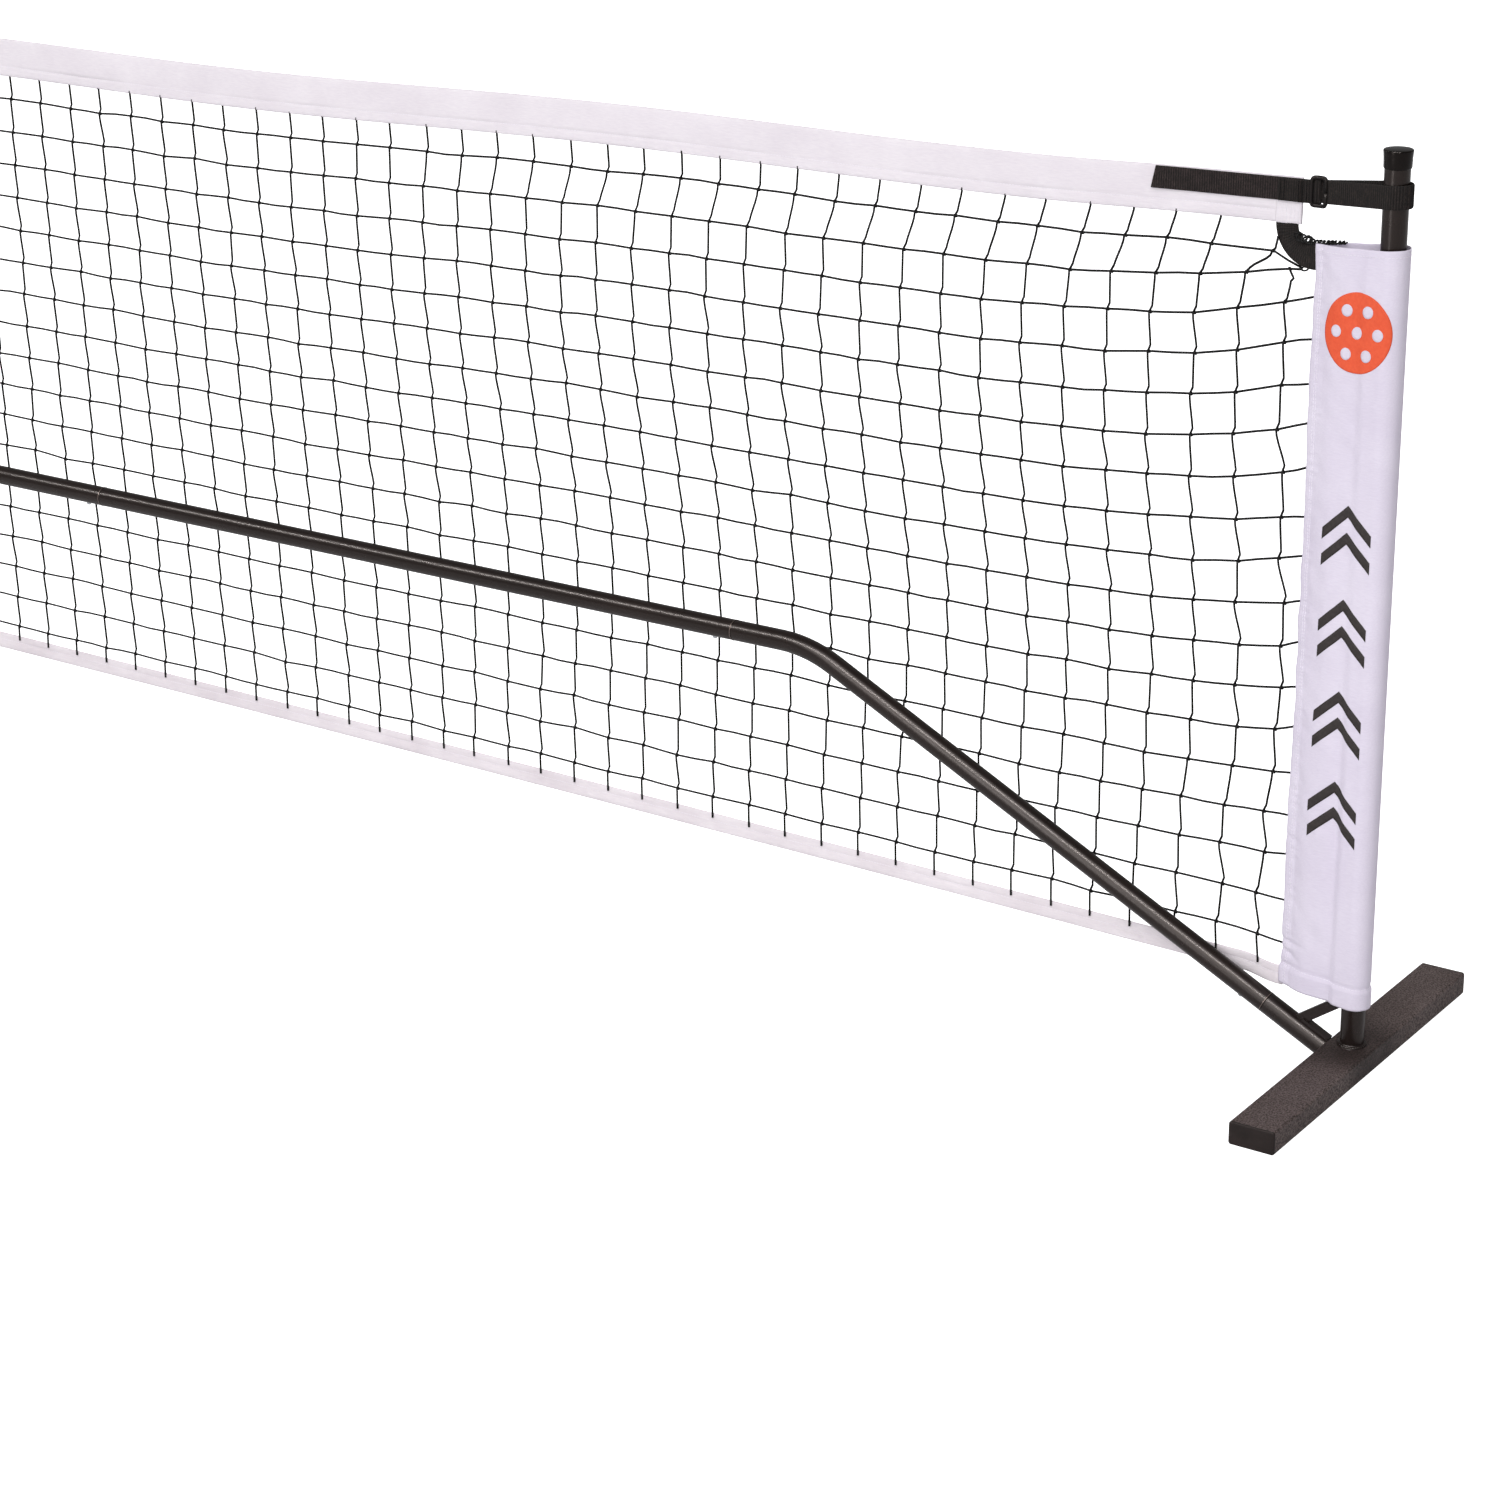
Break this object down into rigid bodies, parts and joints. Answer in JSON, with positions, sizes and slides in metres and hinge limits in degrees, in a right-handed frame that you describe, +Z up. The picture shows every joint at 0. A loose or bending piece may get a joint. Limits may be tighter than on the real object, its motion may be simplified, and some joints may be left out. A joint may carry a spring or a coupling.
{
  "type": "pickleball portable net",
  "caption": "Free-standing portable pickleball net: steel tube frame on crossbar feet, end posts in fabric sleeves, netting with white bands, strap and slide buckle at each post.",
  "frame": {"origin": "on the floor under the middle of the net, on the plane of the posts, bars and feet", "axes": "+X along the net, +Y through it towards the side that the netting hangs on, +Z up"},
  "size_m": [6.756, 0.45, 0.947],
  "materials": {
    "powder_coat": "satin",
    "black_plastic": "matte",
    "spring_steel": "satin",
    "zinc_button": "satin",
    "headband_fabric": "matte",
    "footband_fabric": "matte",
    "net_cord": "matte",
    "black_webbing": "matte",
    "hook_and_loop": "matte",
    "sleeve_fabric": "matte",
    "buckle_plastic": "satin"
  },
  "bodies": {
    "frame": {"foot_right": "powder_coat", "foot_left": "powder_coat", "foot_centre": "powder_coat", "foot_end_caps": "black_plastic", "post_stub_right": "powder_coat", "post_stub_left": "powder_coat", "diagonal_stub_right": "powder_coat", "diagonal_stub_left": "powder_coat", "brace_right": "powder_coat", "brace_left": "powder_coat", "curved_tube_right": "powder_coat", "curved_tube_left": "powder_coat", "outer_bar_right": "powder_coat", "outer_bar_left": "powder_coat", "middle_bar_right": "powder_coat", "middle_bar_left": "powder_coat", "inner_bar_right": "powder_coat", "inner_bar_left": "powder_coat", "centre_leg": "powder_coat", "centre_arms": "powder_coat", "button_springs": "spring_steel", "headband": "headband_fabric", "footband": "footband_fabric", "net_mesh": "net_cord", "centre_loop": "black_webbing", "sleeve_right": "sleeve_fabric", "sleeve_left": "sleeve_fabric", "corner_webbing_right": "black_webbing", "corner_webbing_left": "black_webbing", "strap_right": "hook_and_loop", "strap_left": "hook_and_loop", "post_loop_right": "black_webbing", "post_loop_left": "black_webbing"},
    "post_right": {"post_right": "powder_coat", "post_cap_right": "black_plastic"},
    "post_left": {"post_left": "powder_coat", "post_cap_left": "black_plastic"},
    "centre_post": {"centre_post": "powder_coat", "centre_post_cap": "black_plastic"},
    "ankle_button_right": {"ankle_button_right": "zinc_button"},
    "ankle_button_left": {"ankle_button_left": "zinc_button"},
    "elbow_button_right": {"elbow_button_right": "zinc_button"},
    "elbow_button_left": {"elbow_button_left": "zinc_button"},
    "outer_button_right": {"outer_button_right": "zinc_button"},
    "outer_button_left": {"outer_button_left": "zinc_button"},
    "middle_button_right": {"middle_button_right": "zinc_button"},
    "middle_button_left": {"middle_button_left": "zinc_button"},
    "hub_button_right": {"hub_button_right": "zinc_button"},
    "hub_button_left": {"hub_button_left": "zinc_button"},
    "buckle_right": {"buckle_right": "buckle_plastic"},
    "buckle_left": {"buckle_left": "buckle_plastic"}
  },
  "joints": [
    {"name": "post_right_lift", "type": "slide", "parent": "frame", "child": "post_right", "axis": [0, 0, 1], "range_m": [0, 0.06]},
    {"name": "post_left_lift", "type": "slide", "parent": "frame", "child": "post_left", "axis": [0, 0, 1], "range_m": [0, 0.06]},
    {"name": "centre_post_lift", "type": "slide", "parent": "frame", "child": "centre_post", "axis": [0, 0, 1], "range_m": [0, 0.06]},
    {"name": "ankle_button_right_press", "type": "slide", "parent": "frame", "child": "ankle_button_right", "axis": [0.4509, 0, 0.8926], "range_m": [0, 0.0045], "stiffness_N_per_m": 1500},
    {"name": "ankle_button_left_press", "type": "slide", "parent": "frame", "child": "ankle_button_left", "axis": [-0.4509, 0, 0.8926], "range_m": [0, 0.0045], "stiffness_N_per_m": 1500},
    {"name": "elbow_button_right_press", "type": "slide", "parent": "frame", "child": "elbow_button_right", "axis": [0, 0, 1], "range_m": [0, 0.0045], "stiffness_N_per_m": 1500},
    {"name": "elbow_button_left_press", "type": "slide", "parent": "frame", "child": "elbow_button_left", "axis": [0, 0, 1], "range_m": [0, 0.0045], "stiffness_N_per_m": 1500},
    {"name": "outer_button_right_press", "type": "slide", "parent": "frame", "child": "outer_button_right", "axis": [0, 0, 1], "range_m": [0, 0.0045], "stiffness_N_per_m": 1500},
    {"name": "outer_button_left_press", "type": "slide", "parent": "frame", "child": "outer_button_left", "axis": [0, 0, 1], "range_m": [0, 0.0045], "stiffness_N_per_m": 1500},
    {"name": "middle_button_right_press", "type": "slide", "parent": "frame", "child": "middle_button_right", "axis": [0, 0, 1], "range_m": [0, 0.0045], "stiffness_N_per_m": 1500},
    {"name": "middle_button_left_press", "type": "slide", "parent": "frame", "child": "middle_button_left", "axis": [0, 0, 1], "range_m": [0, 0.0045], "stiffness_N_per_m": 1500},
    {"name": "hub_button_right_press", "type": "slide", "parent": "frame", "child": "hub_button_right", "axis": [0, 0, 1], "range_m": [0, 0.0045], "stiffness_N_per_m": 1500},
    {"name": "hub_button_left_press", "type": "slide", "parent": "frame", "child": "hub_button_left", "axis": [0, 0, 1], "range_m": [0, 0.0045], "stiffness_N_per_m": 1500},
    {"name": "buckle_right_slide", "type": "slide", "parent": "frame", "child": "buckle_right", "axis": [1, 0, 0], "range_m": [0, 0.02]},
    {"name": "buckle_left_slide", "type": "slide", "parent": "frame", "child": "buckle_left", "axis": [-1, 0, 0], "range_m": [0, 0.02]}
  ]
}
